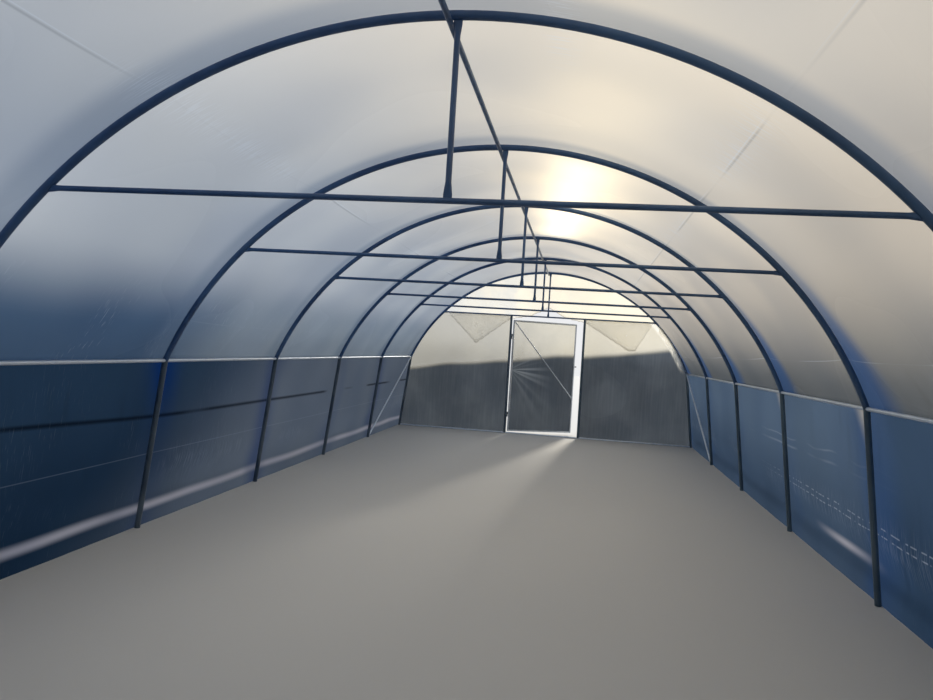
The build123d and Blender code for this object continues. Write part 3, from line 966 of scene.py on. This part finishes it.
def apron_points(end):
    """The apron's points: from its ragged edge up to the arch, for places across the gable."""
    x = np.linspace(-apron_end, apron_end, apron_cells[0] + 1)[:, None]
    share = np.linspace(0, 1, apron_cells[1] + 1)[None, :] ** 0.8
    top = arch_centre + np.sqrt(apron_top**2 - x**2)
    edge = np.minimum(np.interp(x, edge_corners[:, 0], edge_corners[:, 2]), top - 0.002)
    ragged = 0.5 + 0.3 * np.sin(x * 43 + 2 * np.sin(x * 11)) + 0.2 * np.sin(x * 97 + end)
    edge = edge + 0.016 * ragged * smooth(top - edge, 0.0, 0.1)
    height = top + (edge - top) * (1 - share)
    drop = top - height
    fold = 0.5 + 0.5 * np.sin(np.arctan2(x, height - arch_centre) * 46 + 3 * np.sin(x * 2.3 + end))
    lobe = smooth(np.abs(x), 0.8, 1.0)
    curl = 0.012 * lobe * bell(height - edge, 0.035)
    y = apron_plane + 0.0045 * fold * smooth(drop, 0.02, 0.3) * (0.3 + 0.7 * lobe) + curl
    points = np.stack([x + 0 * y, y, height], axis=-1)
    return points * np.array([end, end, 1]), np.stack([points[..., 0], height - edge], axis=-1)


for end_name, end in (("far", 1), ("near", -1)):
    node = f"{end_name}_gable_apron"
    points, spans = apron_points(end)
    name = f"{end_name}_apron_sheet"
    apron = grid_piece(name, points, apron_finish, spans, "tunnel", node)
    low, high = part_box(node)
    drop = high.z - low.z
    area = apron_share * 2 * apron_end * drop

# %% [markdown]
# The leaf of each door stands ajar and has a film of its own. Its corners are read from the
# frame. The film is pulled tight from the hinge side, so folds fan out from the middle of that
# side.

# %% Door films
leaf_cells = (40, 64)


def leaf_points(node):
    """The leaf film's points: from the hinge side to the free side and from the bottom to the top."""
    corners = corners_of(node)
    end = math.copysign(1, corners[:, 1].mean())
    hinge_side = corners[np.argmin(corners[:, 0] * end)]
    free_side = corners[np.argmax(corners[:, 0] * end)]
    low, high = corners[:, 2].min(), corners[:, 2].max()
    run = (free_side - hinge_side) * np.array([1, 1, 0])
    width = np.linalg.norm(run)
    outwards = np.cross(run / width, [0, 0, 1.0]) * -1
    centre = corners.mean(axis=0) * np.array([1, 1, 0])
    share = np.linspace(0, 1, leaf_cells[0] + 1)[None, :, None]
    rise = np.linspace(0, 1, leaf_cells[1] + 1)[:, None, None]
    height = low + (high - low) * rise
    reach = share * width
    fan = np.sin(15 * np.arctan2(height - (low + high) / 2, reach + 0.06) + 1.2 * np.sin(height * 3))
    held = 16 * share * (1 - share) * rise * (1 - rise)
    push = 0.0032 * fan * smooth(held, 0.0, 0.5) * np.exp(-reach / 0.6)
    base = centre + run * (share - 0.5) + np.array([0, 0, 1.0]) * height
    spans = np.concatenate([reach + 0 * height, height + 0 * reach], axis=-1)
    return base + outwards * push, spans, (width, high - low)


for end_name in ("far", "near"):
    node = f"{end_name}_leaf_film"
    points, spans, size = leaf_points(node)
    name = f"{end_name}_leaf_sheet"
    points, spans = points[:, ::-1], spans[:, ::-1]
    leaf = grid_piece(name, points, leaf_finish, spans, f"{end_name}_door", node)

# %% [markdown]
# The edges of the film are turned over where they end. One strip hangs loose along the inner side
# of the gable's arch, and the leaf's film is wrapped round its top bar and its upright on the
# hinge side, in the stretch between the hinges. A wrap is a sleeve: one number runs along the
# tube and one around it, and it leaves a slit on the side where it meets the leaf's film.

# %% Shapes of the strips and the wraps
strip_turns = (math.radians(46.6), math.radians(67.2))
strip_width = 0.095
strip_cells = (72, 8)
wrap_slit = 0.35
wrap_cells = (70, 18)


def strip_points(end):
    """The loose strip's points: along the arch by the angle from the crown, and inwards by its width."""
    turn = np.linspace(*strip_turns, strip_cells[0] + 1)[:, None]
    share = np.linspace(0, 1, strip_cells[1] + 1)[None, :]
    first, last = strip_turns
    ends = smooth(turn, first, first + 0.06) * smooth(turn, last, last - 0.05)
    width = strip_width * (0.25 + 0.75 * ends) * (1 + 0.12 * np.sin(turn * 61) + 0.06 * np.sin(turn * 143))
    radius = arch_radius + hoop_radius * 0.6 - width * share
    wave = np.sin(turn * 74 + share * 2.2) + 0.5 * np.sin(turn * 151 - share * 3)
    y = half_length - hoop_radius - 0.004 - 0.005 * share * (1.6 + wave)
    points = np.stack([radius * np.sin(turn), y, arch_centre + radius * np.cos(turn)], axis=-1)
    spans = np.stack([turn * arch_radius + 0 * share, width * share], axis=-1)
    return points * np.array([end, end, 1]), spans


def wrap_points(start, stop, away, radius):
    """A sleeve round a straight tube: a circle around its line, in small ripples, open on one side."""
    along = (stop - start) / np.linalg.norm(stop - start)
    beside = np.cross(along, away)
    share = np.linspace(0, 1, wrap_cells[0] + 1)[:, None]
    turn = np.linspace(wrap_slit, 2 * math.pi - wrap_slit, wrap_cells[1] + 1)[None, :]
    reach = share * np.linalg.norm(stop - start)
    ripple = np.sin(reach * 57 + turn * 2) + np.sin(reach * 23 - turn * 3)
    ring = radius + 0.0006 * (2 + ripple)
    place = start + along * reach[..., None]
    points = place + away * (ring * np.cos(turn))[..., None] + beside * (ring * np.sin(turn))[..., None]
    return points, np.stack([reach + 0 * turn, turn * radius + 0 * reach], axis=-1)


print("strip", strip_cells, "cells, wrap", wrap_cells, "cells")

# %% [markdown]
# The wraps follow the leaf's own tubes, so their lines are read from the leaf's frame, its film and
# its hinges.


# %% Turned edges of the film
hinge_gap = 0.04
top_gaps = (0.09, 0.03)


def leaf_tubes(end_name, end):
    """The lines that the wraps follow, the way away from the leaf's film, and the radius of its tubes."""
    corners = corners_of(f"{end_name}_leaf_frame")
    film = corners_of(f"{end_name}_leaf_film")
    hinge_side, free_side = film[np.argmin(film[:, 0] * end)], film[np.argmax(film[:, 0] * end)]
    run = (free_side - hinge_side) * np.array([1, 1, 0])
    run /= np.linalg.norm(run)
    away = np.array([-run[1], run[0], 0])
    depth, reach = corners @ away, corners @ run
    middle_depth = (depth.min() + depth.max()) / 2
    radius = (depth.max() - depth.min()) / 2
    hinge_heights = np.sort(corners_of(f"{end_name}_leaf_hinges")[:, 2])
    gap = np.argmax(np.diff(hinge_heights))
    lowest, highest = hinge_heights[gap] + hinge_gap, hinge_heights[gap + 1] - hinge_gap
    upright = away * middle_depth + run * (reach.min() + radius)
    top_bar = away * middle_depth + np.array([0, 0, corners[:, 2].max() - radius])
    lines = {
        "upright": (upright + [0, 0, lowest], upright + [0, 0, highest]),
        "top": (top_bar + run * (reach.min() + top_gaps[0]), top_bar + run * (reach.max() - top_gaps[1])),
    }
    return lines, away, radius


for end_name, end in (("far", 1), ("near", -1)):
    points, spans = strip_points(end)
    name = f"{end_name}_edge_strip"
    strip = grid_piece(name, points, edge_finish, spans, "tunnel", outer=edge_finish)
    length = (strip_turns[1] - strip_turns[0]) * arch_radius

    lines, away, leaf_radius = leaf_tubes(end_name, end)
    for place, (start, stop) in lines.items():
        points, spans = wrap_points(np.array(start), np.array(stop), away, leaf_radius + film_thickness)
        name = f"{end_name}_leaf_{place}_wrap"
        wrap = grid_piece(name, points, edge_finish, spans, f"{end_name}_door")
        around = 2 * (math.pi - wrap_slit) * (leaf_radius + 2 * film_thickness)
        size = (np.linalg.norm(stop - start), around)

# %% [markdown]
# The last cell keeps the frame's own size and the dressed tunnel's size side by side.

# %% Sizes and finish
final_low, final_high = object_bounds()
growth = [round(value, 4) for value in (*(final_high - cad_high), *(cad_low - final_low))]
print("growth past the frame, upper and lower sides", growth)
